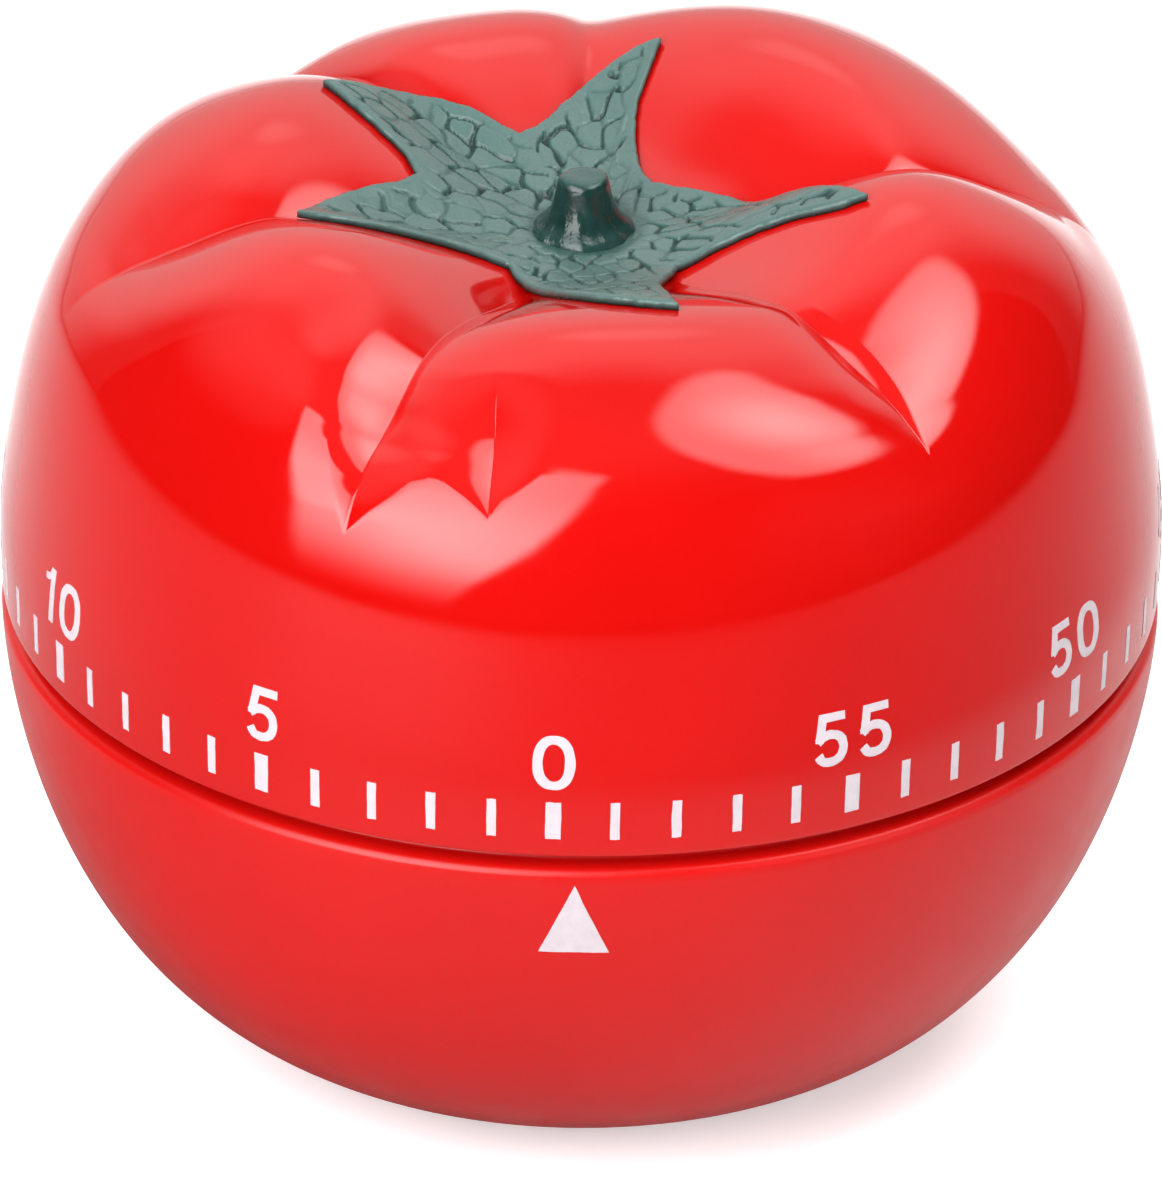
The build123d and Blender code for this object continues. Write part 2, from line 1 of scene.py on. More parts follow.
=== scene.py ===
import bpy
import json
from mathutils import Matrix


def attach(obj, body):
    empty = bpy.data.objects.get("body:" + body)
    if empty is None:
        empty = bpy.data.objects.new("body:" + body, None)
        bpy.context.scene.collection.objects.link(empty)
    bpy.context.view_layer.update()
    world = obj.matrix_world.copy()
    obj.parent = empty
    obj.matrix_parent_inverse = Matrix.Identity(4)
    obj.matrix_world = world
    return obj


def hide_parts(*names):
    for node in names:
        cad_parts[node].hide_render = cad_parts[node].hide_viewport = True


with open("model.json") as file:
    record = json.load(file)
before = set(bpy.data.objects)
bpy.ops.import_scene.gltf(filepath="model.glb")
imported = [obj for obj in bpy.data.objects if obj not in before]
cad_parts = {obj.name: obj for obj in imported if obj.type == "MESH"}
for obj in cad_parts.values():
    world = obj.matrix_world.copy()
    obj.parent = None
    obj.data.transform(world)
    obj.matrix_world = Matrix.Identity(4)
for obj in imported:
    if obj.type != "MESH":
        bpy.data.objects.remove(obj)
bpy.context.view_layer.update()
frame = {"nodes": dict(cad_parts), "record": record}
import json
import math

import bpy
import numpy as np
from mathutils import Matrix, Vector
from mathutils.geometry import delaunay_2d_cdt

MM = 0.001

# ---------------------------------------------------------------- case shape (mm, angles from the front, + to the right)
R = 35.0
Z_TICK = 29.65
SKIN = -0.05             # the shell sits this far inside the solid, so that the printed ink stays in its box
CREASE = [(-138.0, 1.0), (-80.0, 1.0), (-26.0, 1.2), (40.0, 0.85), (104.0, 1.08), (180.0, 0.8)]
BULGE = [0.0, 0.0, -0.028, 0.014, 0.016, -0.024]
SKEW = [0.0, 0.0, 0.0, 0.012, 0.008, 0.0]
EARLY = [0.0, 0.03, 0.035, 0.02, 0.012, 0.0]      # how much further in each crease runs out
CREST = [(1.000, -0.035), (1.003, 0.10), (0.988, 0.25), (0.9585, 0.402), (0.903, 0.5476), (0.811, 0.671), (0.691, 0.747),
         (0.568, 0.781), (0.4526, 0.760), (0.33, 0.707), (0.22, 0.658), (0.11, 0.630), (0.0, 0.622)]
DEPTH_AT = [(0.0, 0.0), (0.08, 0.0), (0.20, 0.25), (0.30, 0.55), (0.40, 0.75), (0.50, 0.92), (0.62, 1.0), (0.72, 0.95),
            (0.80, 0.80), (0.87, 0.50), (0.92, 0.12), (0.95, 0.0), (1.2, 0.0)]
DMAX = 0.085
SHARP = 0.85
NARROW = [1.0, 1.0, 1.18, 1.15, 1.0, 0.68]          # share of that sharpness at each crease
ROUNDED = [0.0, 0.0, 0.0, 0.0, 0.0, 0.10]            # rounding of the valley floor at each crease
# pointed end of a crease: angle, half width left and right (degrees), depth, radius of the point, radius at full depth, start, steepness left and right
POINTED = [(-10.2, 11.0, 8.0, 0.030, 0.902, 0.85, 0.68, 1.8, 1.5), (-26.0, 5.8, 11.0, 0.030, 0.928, 0.86, 0.62, 1.25, 1.3),
           (40.0, 7.0, 2.4, 0.012, 0.893, 0.80, 0.45, 1.7, 1.3)]
RUN = {-26.0: 0.6, 40.0: 1.8}    # creases that bend to the right towards their ends (degrees)
LEAN = {-10.2: 11.0}    # folds that lean to the left towards the top (degrees per radius)
# raised shoulder: left edge and fade, right edge and fade (degrees), place and width along the meridian, height
SHOULDER = [(-33.0, 7.5, -26.0, 9.0, 0.503, 0.09, 0.025), (-33.0, 5.0, -28.0, 3.0, 0.44, 0.035, 0.005)]
LOW_Z, LOW_R, LOW_A, LOW_B = -0.847, 0.1837, 1.6366, 3.1605
TICK_SHIFT = -2.264      # angle of the zero mark


def clamped_spline(xs, ys, x, s0, s1):
    xs, ys, x = np.asarray(xs, float), np.asarray(ys, float), np.asarray(x, float)
    n, h = len(xs), np.diff(xs)
    a, b = np.zeros((n, n)), np.zeros(n)
    a[0, 0], a[-1, -1], b[0], b[-1] = 1, 1, s0, s1
    for i in range(1, n - 1):
        a[i, i - 1], a[i, i], a[i, i + 1] = 1 / h[i - 1], 2 * (1 / h[i - 1] + 1 / h[i]), 1 / h[i]
        b[i] = 3 * ((ys[i] - ys[i - 1]) / h[i - 1] ** 2 + (ys[i + 1] - ys[i]) / h[i] ** 2)
    k = np.linalg.solve(a, b)
    i = np.clip(np.searchsorted(xs, x, side="right") - 1, 0, n - 2)
    t = (x - xs[i]) / h[i]
    u, v = k[i] * h[i] - (ys[i + 1] - ys[i]), -k[i + 1] * h[i] + (ys[i + 1] - ys[i])
    return (1 - t) * ys[i] + t * ys[i + 1] + t * (1 - t) * (u * (1 - t) + v * t)


def smooth_table(table, x):
    xs, ys = np.array([p[0] for p in table]), np.array([p[1] for p in table])
    h = np.diff(xs)
    d, m = np.diff(ys) / h, np.zeros(len(xs))
    for i in range(1, len(xs) - 1):
        if d[i - 1] * d[i] > 0:
            w1, w2 = 2 * h[i] + h[i - 1], h[i] + 2 * h[i - 1]
            m[i] = (w1 + w2) / (w1 / d[i - 1] + w2 / d[i])
    x = np.clip(x, xs[0], xs[-1])
    i = np.clip(np.searchsorted(xs, x, side="right") - 1, 0, len(xs) - 2)
    t = (x - xs[i]) / h[i]
    return ((2 * t**3 - 3 * t**2 + 1) * ys[i] + (t**3 - 2 * t**2 + t) * h[i] * m[i]
            + (-2 * t**3 + 3 * t**2) * ys[i + 1] + (t**3 - t**2) * h[i] * m[i + 1])


def crest(t):
    p = np.array(CREST)
    d = np.r_[0, np.cumsum(np.hypot(*np.diff(p, axis=0).T))]
    length = d[-1]
    d = d / length
    f = lambda s: np.stack([clamped_spline(d, p[:, 0], s, 0.0, -length), clamped_spline(d, p[:, 1], s, length, 0.0)], -1)
    t = np.asarray(t, float)
    g = f(np.clip(t + 1e-4, 0, 1)) - f(np.clip(t - 1e-4, 0, 1))
    g = g / np.linalg.norm(g, axis=-1, keepdims=True)
    return f(t), np.stack([g[..., 1], -g[..., 0]], -1)


def smooth_step(x, a, b):
    t = np.clip((x - a) / (b - a), 0, 1)
    return t * t * (3 - 2 * t)


def lobes(az, sharp):
    """Valley weight, lobe height and early end of the crease at an angle."""
    c = sorted(CREASE)
    edge = np.array([p[0] for p in c] + [c[0][0] + 360])
    dep = np.array([p[1] for p in c] + [c[0][1]])
    early, thin, soft = np.array(EARLY + EARLY[:1]), np.array(NARROW + NARROW[:1]), np.array(ROUNDED + ROUNDED[:1])
    a = (np.asarray(az, float) - edge[0]) % 360 + edge[0]
    i = np.clip(np.searchsorted(edge, a, side="right") - 1, 0, len(c) - 1)
    s = np.clip((a - edge[i]) / (edge[i + 1] - edge[i]), 0, 1)
    k = np.sin(np.pi * s)
    e = s * s * (3 - 2 * s)
    soft = soft[i] * (1 - e) + soft[i + 1] * e
    v = np.sqrt((k ** 2 + soft ** 2) / (1 + soft ** 2))
    return ((dep[i] * (1 - s) + dep[i + 1] * s) * (1 - np.maximum(v, 1e-9) ** (sharp * (thin[i] * (1 - e) + thin[i + 1] * e))),
            np.array(BULGE)[i] * k ** 2 - np.array(SKEW)[i] * np.sin(2 * np.pi * s) * k,
            early[i] * (1 - e) + early[i + 1] * e)


def run_share(q):
    return smooth_step(q[..., 0], 0.55, 0.86) * smooth_step(q[..., 1], 0.25, 0.45)


def lean_at(mid, q):
    return LEAN.get(mid, 0.0) * np.clip(q[..., 0] - 0.90, -0.26, 0.02) * smooth_step(q[..., 1], 0.25, 0.45)


def along_crease(az, t):
    """Angles of mesh columns that follow the bent creases."""
    q = crest(t)[0]
    share = run_share(q)
    az = az + sum(lean_at(c, q) * np.exp(-(((az - c + 180) % 360 - 180) / 6) ** 2) for c in LEAN)
    return az + sum(k * share * np.exp(-(((az - c + 180) % 360 - 180) / 14) ** 2) for c, k in RUN.items())


def top_point(az, t, out=SKIN, sharp=SHARP, fill=1.0):
    """Outer surface of the upper shell; az from the front, t from 0 at the seam to 1 at the centre."""
    az, t = np.broadcast_arrays(np.asarray(az, float), np.asarray(t, float))
    a = np.radians(az)
    q, n = crest(t)
    share = run_share(q)
    az = az - sum(k * share * np.exp(-(((az - c - k * share + 180) % 360 - 180) / 14) ** 2) for c, k in RUN.items())
    w, b, early = lobes(az, sharp)
    rho = q[..., 0]
    high = np.where(q[..., 1] > 0.2, 1.0, 0.0)
    valley = smooth_table(DEPTH_AT, rho + early * smooth_step(rho, 0.60, 0.88)) * high
    lobe = smooth_table(DEPTH_AT, rho) * high
    fold = 0.0
    for mid, left, right, deep, point, full, start, bend_l, bend_r in POINTED:
        f = 1.25 * np.tanh(np.clip((point - rho) / (point - full), 0, 9) / 1.25)
        d = (az - mid - lean_at(mid, q) + 180) % 360 - 180
        x = np.abs(d) / np.maximum(np.where(d < 0, left, right) * f, 1e-3)
        fold = fold + deep * f * np.clip(1 - x, 0, 1) ** np.where(d < 0, bend_l, bend_r) * smooth_step(rho, start, full) * high
    for left, fade_l, right, fade_r, mid, long, tall in SHOULDER:
        d = np.where(az < left, (az - left) / fade_l, np.where(az > right, (az - right) / fade_r, 0.0))
        fold = fold - tall * np.exp(-d ** 2 - ((t - mid) / long) ** 2)
    off = -DMAX * valley * w * fill + b * lobe - fold + out / R
    rho, z = rho + n[..., 0] * off, q[..., 1] + n[..., 1] * off
    return np.stack([R * rho * np.sin(a), -R * rho * np.cos(a), R * z + Z_TICK], -1)


def low_profile(s):
    r = LOW_R + (1 - LOW_R) * np.maximum(0.0, 1 - s ** LOW_A) ** (1 / LOW_B)
    return R * r, R * (-0.060 + s * (LOW_Z + 0.060)) + Z_TICK


# ---------------------------------------------------------------- mesh helpers
def new_mesh(name, verts, faces, smooth=True):
    m = bpy.data.meshes.new(name)
    m.from_pydata((np.asarray(verts) * MM).tolist(), [], faces)
    m.update()
    m.polygons.foreach_set("use_smooth", [smooth] * len(m.polygons))
    o = bpy.data.objects.new(name, m)
    bpy.context.scene.collection.objects.link(o)
    return o


def ring_faces(rows, cols, start=0):
    f = []
    for i in range(rows - 1):
        a, b = start + i * cols, start + (i + 1) * cols
        for j in range(cols):
            k = (j + 1) % cols
            f.append((a + j, a + k, b + k, b + j))
    return f


def lathe(profile, cols, turn=0.0):
    """Rings of (r, z) points; returns (points, faces) with a pole where r is 0."""
    a = np.radians(np.arange(cols) * 360.0 / cols + turn)
    pts, faces, rows = [], [], []
    for r, z in profile:
        if r < 1e-6:
            rows.append((len(pts), 1))
            pts.append((0.0, 0.0, z))
        else:
            rows.append((len(pts), cols))
            pts += [(r * c, r * s, z) for c, s in zip(np.cos(a), np.sin(a))]
    for (i, n), (j, m) in zip(rows, rows[1:]):
        for k in range(cols):
            l = (k + 1) % cols
            if n == 1 and m == 1:
                break
            if n == 1:
                faces.append((i, j + l, j + k))
            elif m == 1:
                faces.append((i + k, i + l, j))
            else:
                faces.append((i + k, i + l, j + l, j + k))
    return np.array(pts), faces


def inside(poly, pts):
    x, y = pts[:, 0], pts[:, 1]
    px, py = np.asarray(poly, float).T
    c = np.zeros(len(pts), bool)
    j = len(px) - 1
    for i in range(len(px)):
        if py[i] != py[j]:
            m = (py[i] > y) != (py[j] > y)
            c ^= m & (x < (px[j] - px[i]) * (y - py[i]) / (py[j] - py[i]) + px[i])
        j = i
    return c


def filled(solids, holes=(), grid=0.35):
    """Triangles covering the union of the outlines less the holes, with inner points on a grid."""
    verts, edges = [], []
    for poly in list(solids) + list(holes):
        b = len(verts)
        verts += [tuple(map(float, p)) for p in poly]
        edges += [(b + i, b + (i + 1) % len(poly)) for i in range(len(poly))]
    allp = np.array(verts)
    lo, hi = allp.min(0), allp.max(0)
    gx = np.arange(lo[0] + grid / 2, hi[0], grid)
    gy = np.arange(lo[1] + grid / 2, hi[1], grid * 0.866)
    pts = np.array([(x + (grid / 2 if i % 2 else 0), y) for i, y in enumerate(gy) for x in gx])
    ok = np.zeros(len(pts), bool)
    for p in solids:
        ok |= inside(p, pts)
    for p in holes:
        ok &= ~inside(p, pts)
    pts = pts[ok]
    seg_a, seg_b = allp[[e[0] for e in edges]], allp[[e[1] for e in edges]]
    if len(pts):
        d = np.full(len(pts), 1e9)
        for a, b in zip(seg_a, seg_b):
            ab = b - a
            t = np.clip(((pts - a) @ ab) / max(1e-12, ab @ ab), 0, 1)
            d = np.minimum(d, np.linalg.norm(pts - (a + t[:, None] * ab), axis=1))
        pts = pts[d > grid * 0.45]
    verts += [tuple(map(float, p)) for p in pts]
    v, _, f, _, _, _ = delaunay_2d_cdt([Vector(p) for p in verts], edges, [], 0, 1e-6)
    v = np.array([(p.x, p.y) for p in v])
    f = np.array([list(t) for t in f])
    c = v[f].mean(1)
    keep = np.zeros(len(f), bool)
    for p in solids:
        keep |= inside(p, c)
    for p in holes:
        keep &= ~inside(p, c)
    f = f[keep]
    used = np.unique(f)
    new = -np.ones(len(v), int)
    new[used] = np.arange(len(used))
    v, f = v[used], new[f]
    area = (v[f[:, 1], 0] - v[f[:, 0], 0]) * (v[f[:, 2], 1] - v[f[:, 0], 1]) - (v[f[:, 1], 1] - v[f[:, 0], 1]) * (v[f[:, 2], 0] - v[f[:, 0], 0])
    f[area < 0] = f[area < 0][:, ::-1]
    return v, f[np.abs(area) > 1e-9]


def rim_edges(f):
    """Directed edges that only one triangle uses."""
    seen = {}
    for t in f:
        for a, b in ((t[0], t[1]), (t[1], t[2]), (t[2], t[0])):
            seen[(int(a), int(b))] = True
    return [e for e in seen if (e[1], e[0]) not in seen]


def slab(top, bottom, f):
    """Closed thin solid between two copies of a triangulated sheet."""
    n = len(top)
    faces = [tuple(map(int, t)) for t in f] + [(int(t[0]) + n, int(t[2]) + n, int(t[1]) + n) for t in f]
    faces += [(b, a, a + n, b + n) for a, b in rim_edges(f)]
    return np.concatenate([top, bottom]), faces


def wobble(points, amount, seed):
    """Slightly uneven outline, as a printed or hand-cut edge has."""
    rng = np.random.default_rng(seed)
    p = np.asarray(points, float)
    k = rng.normal(size=p.shape)
    k = (k + np.roll(k, 1, 0) + np.roll(k, -1, 0)) / 3
    return p + amount * k


# ---------------------------------------------------------------- materials
def material(name):
    m = bpy.data.materials.new(name)
    m.use_nodes = True
    t = m.node_tree
    return m, t, t.nodes["Principled BSDF"]


def coords(t):
    return t.nodes.new("ShaderNodeTexCoord").outputs["Object"]


def noise(t, scale, detail=3.0, rough=0.5, vec=None, stretch=None):
    n = t.nodes.new("ShaderNodeTexNoise")
    n.inputs["Scale"].default_value = scale
    n.inputs["Detail"].default_value = detail
    n.inputs["Roughness"].default_value = rough
    v = vec or coords(t)
    if stretch:
        mp = t.nodes.new("ShaderNodeMapping")
        mp.inputs["Scale"].default_value = stretch
        t.links.new(v, mp.inputs["Vector"])
        v = mp.outputs["Vector"]
    t.links.new(v, n.inputs["Vector"])
    return n.outputs["Fac"]


def ramp(t, fac, stops):
    r = t.nodes.new("ShaderNodeValToRGB")
    e = r.color_ramp.elements
    while len(e) < len(stops):
        e.new(0.5)
    for el, (p, c) in zip(e, stops):
        el.position = p
        el.color = (*c, 1.0) if len(c) == 3 else c
    t.links.new(fac, r.inputs["Fac"])
    return r.outputs["Color"]


def spread(t, fac, lo, hi, a=0.3, b=0.7):
    n = t.nodes.new("ShaderNodeMapRange")
    n.inputs["From Min"].default_value = a
    n.inputs["From Max"].default_value = b
    n.inputs["To Min"].default_value = lo
    n.inputs["To Max"].default_value = hi
    t.links.new(fac, n.inputs["Value"])
    return n.outputs["Result"]


def bump(t, height, strength, distance, normal=None):
    b = t.nodes.new("ShaderNodeBump")
    b.inputs["Strength"].default_value = strength
    b.inputs["Distance"].default_value = distance
    t.links.new(height, b.inputs["Height"])
    if normal is not None:
        t.links.new(normal, b.inputs["Normal"])
    return b.outputs["Normal"]


def red_plastic(name, rough_lo, rough_hi, coat, peel, tone=1.0):
    m, t, s = material(name)
    flow = noise(t, 45.0, 2.0, 0.45)
    t.links.new(ramp(t, flow, [(0.25, (0.43 * tone, 0.0022, 0.0015)), (0.75, (0.485 * tone, 0.0030, 0.0021))]), s.inputs["Base Color"])
    haze = noise(t, 260.0, 4.0, 0.6)
    t.links.new(spread(t, haze, rough_lo, rough_hi), s.inputs["Roughness"])
    s.inputs["IOR"].default_value = 1.52
    s.inputs["Coat Weight"].default_value = coat
    s.inputs["Coat Roughness"].default_value = 0.03
    soft = noise(t, 420.0, 2.0, 0.4)
    nrm = bump(t, soft, peel, 0.00004)
    t.links.new(nrm, s.inputs["Normal"])
    return m


def leaf_paint():
    m, t, s = material("calyx_green_paint_and_shade")
    a = t.nodes.new("ShaderNodeAttribute")
    a.attribute_name = "relief_and_shade"
    mottled = noise(t, 900.0, 4.0, 0.6)
    mix = t.nodes.new("ShaderNodeMath")
    mix.operation = "MULTIPLY_ADD"
    t.links.new(mottled, mix.inputs[0])
    mix.inputs[1].default_value = 0.35
    t.links.new(a.outputs["Fac"], mix.inputs[2])
    # the ramp turns the tone attribute into green paint with painted shade and light: dark in the grooves and down the
    # edge walls, paler on raised cells and ribs, lighter on the stem's top
    t.links.new(ramp(t, mix.outputs[0], [(0.14, (0.0042, 0.018, 0.0155)), (0.50, (0.0165, 0.052, 0.046)), (0.85, (0.038, 0.089, 0.080)), (1.0, (0.069, 0.127, 0.117))]),
                s.inputs["Base Color"])
    wet = t.nodes.new("ShaderNodeAttribute")
    wet.attribute_name = "wet"
    shine = t.nodes.new("ShaderNodeMath")
    shine.operation = "MULTIPLY_ADD"
    t.links.new(wet.outputs["Fac"], shine.inputs[0])
    shine.inputs[1].default_value = -0.18
    t.links.new(spread(t, noise(t, 1500.0, 3.0, 0.6), 0.24, 0.42), shine.inputs[2])
    t.links.new(shine.outputs[0], s.inputs["Roughness"])
    rough = bump(t, noise(t, 1100.0, 3.0, 0.6), 0.55, 0.00012)
    t.links.new(bump(t, noise(t, 2800.0, 3.0, 0.55), 0.40, 0.00006, rough), s.inputs["Normal"])
    s.inputs["Specular IOR Level"].default_value = 0.40
    return m


def ink():
    m, t, s = material("white_print_ink")
    t.links.new(ramp(t, noise(t, 1400.0, 4.0, 0.6), [(0.25, (0.50, 0.43, 0.46)), (0.60, (0.565, 0.495, 0.53))]), s.inputs["Base Color"])
    t.links.new(spread(t, noise(t, 2200.0, 2.0, 0.5), 0.32, 0.48), s.inputs["Roughness"])
    t.links.new(bump(t, noise(t, 5000.0, 2.0, 0.5), 0.15, 0.00002), s.inputs["Normal"])
    return m


def metal(name, dark, light, rough_lo, rough_hi, stretch, scale=900.0):
    m, t, s = material(name)
    s.inputs["Metallic"].default_value = 1.0
    grain = noise(t, scale, 5.0, 0.65, stretch=stretch)
    tone = noise(t, 160.0, 3.0, 0.5)
    t.links.new(ramp(t, tone, [(0.3, dark), (0.7, light)]), s.inputs["Base Color"])
    t.links.new(spread(t, grain, rough_lo, rough_hi), s.inputs["Roughness"])
    t.links.new(bump(t, grain, 0.12, 0.00003), s.inputs["Normal"])
    return m


RED = red_plastic("red_gloss_plastic", 0.045, 0.075, 0.0, 0.03)
# painted light: the satin red is made 6% lighter than the gloss red, to make up for the dimmer light on the lower shell
RED_LOW = red_plastic("red_satin_plastic", 0.285, 0.37, 0.0, 0.05, 1.06)
RED_LOW.node_tree.nodes["Principled BSDF"].inputs["Specular IOR Level"].default_value = 0.32
GREEN = leaf_paint()
WHITE = ink()
BRASS = metal("stamped_brass", (0.62, 0.42, 0.16), (0.80, 0.59, 0.27), 0.22, 0.42, (1.0, 6.0, 1.0))
STEEL = metal("turned_steel", (0.46, 0.46, 0.47), (0.62, 0.62, 0.63), 0.20, 0.38, (1.0, 1.0, 9.0))
BLUED = metal("blued_spring_steel", (0.10, 0.12, 0.20), (0.20, 0.22, 0.32), 0.22, 0.36, (1.0, 1.0, 8.0))
ZINC = metal("zinc_plated_sheet", (0.50, 0.50, 0.47), (0.66, 0.66, 0.64), 0.30, 0.52, (1.0, 1.0, 1.0), 500.0)
NICKEL = metal("nickel_bell", (0.62, 0.61, 0.59), (0.76, 0.75, 0.73), 0.08, 0.20, (1.0, 1.0, 5.0))
BY_SLOT = {"brass": BRASS, "steel": STEEL, "spring_steel": BLUED, "zinc_plate": ZINC, "bell_steel": NICKEL,
           "red_gloss": RED, "red_satin": RED_LOW, "calyx_green": GREEN}


def paint(o, m):
    o.data.materials.clear()
    o.data.materials.append(m)


slots = {s["node"]: s["material_slot"] for s in frame["record"]["subparts"]}
for node, o in frame["nodes"].items():
    paint(o, BY_SLOT[slots[node]])

# ---------------------------------------------------------------- upper shell
steps = []
a = -180.0
while a < 180.0 - 1e-6:
    near = min(abs((a - c + 180) % 360 - 180) for c in [p[0] for p in CREASE])
    fine = min(abs(a - p[0]) for p in POINTED)
    steps.append(a)
    a += 0.2 if fine < 5.6 else 0.5 if near < 6.0 else 1.0
AZ = np.array(sorted(set(np.round(np.array(steps + [p[0] for p in CREASE if p[0] < 180] + [p[0] for p in POINTED]), 3))))
COLS = len(AZ)
ROUND = [(0.0, 46.6), (2.56, 46.6), (2.56, 34.3), (2.8, 34.0), (4.8, 34.0), (5.0, 34.2), (5.0, 48.6), (5.6, 49.2), (14.0, 49.2), (22.0, 49.2), (24.6, 48.75), (27.0, 48.0),
         (28.8, 46.95), (30.3, 45.5), (31.4, 43.9), (32.2, 42.0), (32.75, 39.6), (33.0, 37.0), (33.0, 33.0), (33.0, 28.80), (33.06, 28.58), (33.22, 28.46), (33.5, 28.43),
         (34.72, 28.43), (34.83, 28.44), (34.90, 28.475), (34.93, 28.55), (34.94, 28.70)]
T = np.concatenate([np.linspace(0.012, 0.16, 14), np.linspace(0.17, 0.30, 16), np.linspace(0.304, 0.58, 110), np.linspace(0.584, 0.74, 40), np.linspace(0.75, 0.992, 34)])
ang = np.radians(AZ)
rows = [np.stack([r * np.sin(ang), -r * np.cos(ang), np.full(COLS, z)], -1) for r, z in ROUND[1:]]
rows += [top_point(along_crease(AZ, t), t) for t in T]
pts = np.concatenate([np.array([[0, 0, ROUND[0][1]]])] + rows + [top_point(np.array([0.0]), np.array([1.0]))])
faces = ring_faces(len(rows), COLS, 1)
faces += [(0, 1 + (j + 1) % COLS, 1 + j) for j in range(COLS)]
last, top = 1 + (len(rows) - 1) * COLS, len(pts) - 1
faces += [(last + j, last + (j + 1) % COLS, top) for j in range(COLS)]
upper = new_mesh("upper_shell_skin", pts, faces)
paint(upper, RED)
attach(upper, "dial")
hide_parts("upper_shell")

# ---------------------------------------------------------------- lower shell
LC = 288
s = np.concatenate([np.linspace(0.0, 0.5, 26)[1:], np.linspace(0.5, 0.9, 30)[1:], np.linspace(0.9, 0.965, 9)[1:]])
lr, lz = low_profile(s)
outer = [(float(r), float(z)) for r, z in zip(lr, lz) if z < 27.0]
tail = [(17.3, 0.50), (16.4, 0.25), (15.5, 0.07), (14.7, 0.0)]
outer = [p for p in outer if p[1] > 0.75] + tail
rim = [(31.4, 26.2), (31.4, 29.7), (31.5, 29.9), (31.7, 30.0), (32.3, 30.0), (32.5, 29.9), (32.6, 29.7), (32.6, 28.34), (32.68, 28.27),
       (33.40, 28.25), (33.54, 28.20), (33.60, 28.06), (33.60, 27.76), (33.66, 27.62), (33.82, 27.56), (34.40, 27.50), (34.66, 27.42), (34.85, 27.28), (34.95, 27.08)]
wall = []
for i in range(1, len(outer) - 1):
    (r0, z0), (r1, z1) = outer[i - 1], outer[i + 1]
    n = math.hypot(r1 - r0, z1 - z0)
    wall.append((outer[i][0] - 2.0 * (z0 - z1) / n, outer[i][1] + 2.0 * (r0 - r1) / n))
wall = [p for p in wall if 2.3 < p[1] < 24.8][::-1]
wall = [(14.7, 2.0), (wall[0][0] - 1.6, 2.02)] + wall
profile = wall + rim + outer
pts, faces = lathe(profile, LC)
slots_at = []
for k in range(8):
    c, sn = math.cos(math.radians(22.5 + 45 * k)), math.sin(math.radians(22.5 + 45 * k))
    hole = []
    for x, y, a0 in ((11.2, 0.0, -90.0), (6.8, 0.0, 90.0)):
        for d in np.linspace(0, 180, 9):
            q = math.radians(a0 + d)
            hole.append((x + 0.8 * math.cos(q), y + 0.8 * math.sin(q)))
    slots_at.append([(x * c - y * sn, x * sn + y * c) for x, y in hole])
disc = [(14.7 * math.cos(2 * math.pi * k / LC), 14.7 * math.sin(2 * math.pi * k / LC)) for k in range(LC)]
dv, df = filled([disc], slots_at, grid=1.2)
flat = np.c_[dv, np.zeros(len(dv))]
floor_in = np.c_[dv, np.full(len(dv), 2.0)]
pts_s, faces_s = [], []
base = len(pts)
n = len(dv)
faces_s += [(base + int(t[0]), base + int(t[2]), base + int(t[1])) for t in df]
faces_s += [(base + n + int(t[0]), base + n + int(t[1]), base + n + int(t[2])) for t in df]
for a0, b0 in rim_edges(df):
    if np.hypot(*dv[a0]) < 14.0:
        faces_s.append((base + a0, base + b0, base + b0 + n, base + a0 + n))
pts = np.concatenate([pts, flat, floor_in])
faces = faces + faces_s
mid_r = [p[0] - 0.8 for p in outer][::-1]
mid_z = [p[1] + 0.8 for p in outer][::-1]
for ang0 in (40.0, 160.0, 275.0):
    bx, by = 24.0 * math.cos(math.radians(ang0)), 24.0 * math.sin(math.radians(ang0))
    bp, bf = lathe([(0.0, 8.0), (1.12, 8.0), (1.12, 12.8), (1.3, 12.98), (2.4, 12.98), (2.7, 12.7), (2.7, 5.0)], 32)
    bp = bp + np.array([bx, by, 0.0])
    foot = bp[:, 2] < 5.01
    bp[foot, 2] = np.interp(np.hypot(bp[foot, 0], bp[foot, 1]), mid_r, mid_z)
    bf = [tuple(i + len(pts) for i in q) for q in bf]
    pts = np.concatenate([pts, bp])
    faces += bf
lower = new_mesh("lower_shell_skin", pts, faces)
paint(lower, RED_LOW)
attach(lower, "base")
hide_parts("lower_shell")

# ---------------------------------------------------------------- calyx
CALYX = [(-17.2, -4.7), (-15.8, -2.3), (-13.6, -0.1), (-11.2, 1.6), (-10.1, 2.8), (-11.1, 4.6), (-12.4, 5.9), (-14.0, 7.5),
         (-15.9, 10.0), (-13.8, 11.5), (-11.4, 12.1), (-9.0, 11.7), (-6.6, 10.7), (-5.1, 9.8), (-4.1, 9.4), (-2.8, 10.3), (-1.4, 12.2),
         (0.1, 14.3), (1.6, 15.6), (3.2, 16.4), (4.4, 16.5), (3.8, 14.3), (3.2, 12.2), (2.9, 10.2), (3.0, 8.0), (3.3, 6.2),
         (4.0, 4.9), (5.4, 4.4), (7.7, 3.6), (10.1, 2.1), (12.6, -0.7), (14.9, -3.3), (16.8, -5.7), (14.9, -5.9), (12.5, -5.1),
         (10.1, -4.5), (7.8, -4.6), (5.5, -5.6), (4.6, -8.6), (4.6, -11.6), (4.95, -14.6), (5.6, -17.5), (3.2, -16.9), (0.6, -15.5),
         (-1.3, -13.0), (-2.9, -9.2), (-4.6, -5.7), (-7.0, -5.6), (-9.2, -5.9), (-11.6, -6.6), (-14.0, -6.8), (-16.0, -6.0)]
TIPS, CORNERS = [0, 8, 20, 32, 41], [4, 14, 26, 37, 46]


